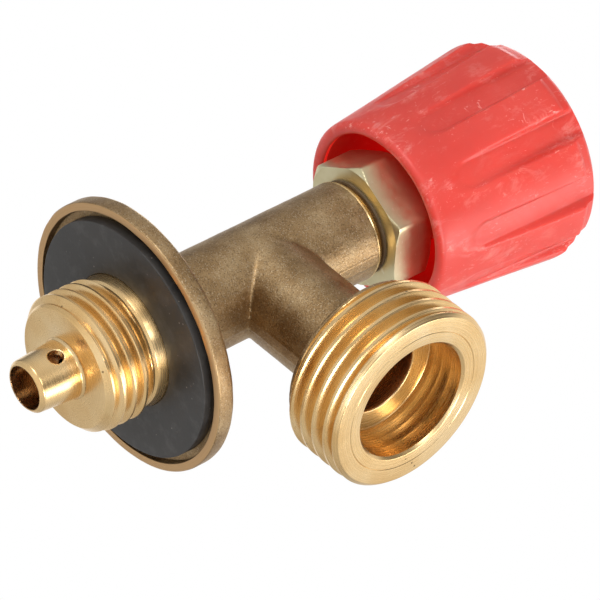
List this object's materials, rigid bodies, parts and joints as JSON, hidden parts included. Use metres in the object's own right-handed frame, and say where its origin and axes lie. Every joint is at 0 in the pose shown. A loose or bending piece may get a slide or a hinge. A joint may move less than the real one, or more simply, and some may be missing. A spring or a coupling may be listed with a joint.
{
  "type": "gas cylinder tap",
  "caption": "Brass on/off tap for a small refillable gas cylinder: threaded inlet with a hollow nib, sealing flange, side outlet with a male thread and a fluted handwheel.",
  "frame": {"origin": "on the main axis, in the plane where the sealing washer meets the cylinder", "axes": "+Z along the main axis from the cylinder to the handwheel; -Y along the outlet, out of its mouth"},
  "size_m": [0.0312, 0.0416, 0.0708],
  "materials": {
    "forged_brass": "sand-blasted forging with machined threads",
    "turned_brass": "bright turned",
    "plated_brass": "dull pale plating",
    "black_rubber": "matt",
    "fibre_gasket": "matt",
    "red_plastic": "scuffed satin moulding",
    "cap_plastic": "satin moulding",
    "white_plastic": "waxy",
    "steel": "zinc plated"
  },
  "bodies": {
    "tap_body": {"valve_body": "forged_brass", "inlet_nib": "turned_brass", "sealing_washer": "black_rubber", "bonnet_gasket": "fibre_gasket", "bonnet": "plated_brass"},
    "seat_carrier": {"seat_holder": "turned_brass", "seat_pad": "black_rubber", "pad_screw": "steel", "swivel_ring": "steel"},
    "spindle_and_wheel": {"spindle": "turned_brass", "thrust_washer": "white_plastic", "lower_o_ring": "black_rubber", "upper_o_ring": "black_rubber", "backup_ring": "white_plastic", "handwheel": "red_plastic", "knob_insert": "turned_brass", "knob_washer": "steel", "spring_washer": "steel", "knob_screw": "steel", "knob_cap": "cap_plastic"}
  },
  "joints": [
    {"name": "spindle_lift", "type": "slide", "parent": "tap_body", "child": "seat_carrier", "axis": [0, 0, 1], "range_m": [0, 0.0025]},
    {"name": "wheel_turn", "type": "hinge", "parent": "seat_carrier", "child": "spindle_and_wheel", "pos_m": [0, 0, 0.0465], "axis": [0, 0, 1], "range_deg": [0, 900]}
  ],
  "couplings": [
    {"joint": "wheel_turn", "follows": "spindle_lift", "rad_per_m": 6283.2}
  ]
}
